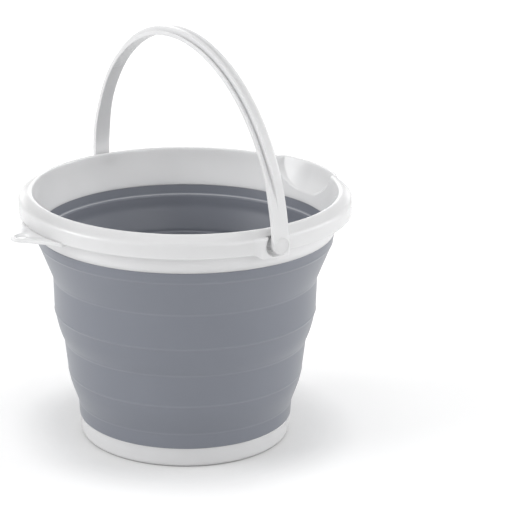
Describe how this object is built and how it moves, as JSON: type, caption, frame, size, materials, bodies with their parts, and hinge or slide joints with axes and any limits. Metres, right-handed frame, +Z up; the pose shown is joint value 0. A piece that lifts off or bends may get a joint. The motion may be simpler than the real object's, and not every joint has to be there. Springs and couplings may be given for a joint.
{
  "type": "collapsible camp bucket",
  "caption": "Round camp bucket whose soft ribbed wall folds flat between a hard rim and base pan, with a swinging bail handle, pouring spout and hanging ear.",
  "frame": {"origin": "centre of the base's underside, on the ground", "axes": "+Z up, Y along the handle's pivot axis, the hanging ear towards -X and the spout towards +X"},
  "size_m": [0.3463, 0.3368, 0.4026],
  "materials": {
    "rim_plastic": "white moulded plastic, soft gloss",
    "base_plastic": "white moulded plastic, soft gloss",
    "handle_plastic": "white moulded plastic, satin",
    "rivet_plastic": "white moulded plastic, satin",
    "soft_wall": "blue-grey soft moulding, satin"
  },
  "bodies": {
    "base": {"base": "base_plastic", "cuff": "soft_wall", "fold_3": "soft_wall"},
    "lower_ring": {"ring_2": "soft_wall", "fold_2": "soft_wall"},
    "upper_ring": {"ring_1": "soft_wall", "fold_1": "soft_wall"},
    "rim": {"rim_frame": "rim_plastic", "wall_collar": "soft_wall", "pivot_rivet_front": "rivet_plastic", "pivot_rivet_back": "rivet_plastic"},
    "handle": {"handle": "handle_plastic"}
  },
  "joints": [
    {"name": "lower_fold_slide", "type": "slide", "parent": "base", "child": "lower_ring", "axis": [0, 0, -1], "range_m": [0, 0.0628], "deforming": ["fold_3"]},
    {"name": "middle_fold_slide", "type": "slide", "parent": "lower_ring", "child": "upper_ring", "axis": [0, 0, -1], "range_m": [0, 0.059], "deforming": ["fold_2"]},
    {"name": "upper_fold_slide", "type": "slide", "parent": "upper_ring", "child": "rim", "axis": [0, 0, -1], "range_m": [0, 0.0712], "deforming": ["fold_1"]},
    {"name": "handle_hinge", "type": "hinge", "parent": "rim", "child": "handle", "pos_m": [0, 0, 0.234], "axis": [0, 1, 0], "range_deg": [-87.8, 92.2]}
  ]
}
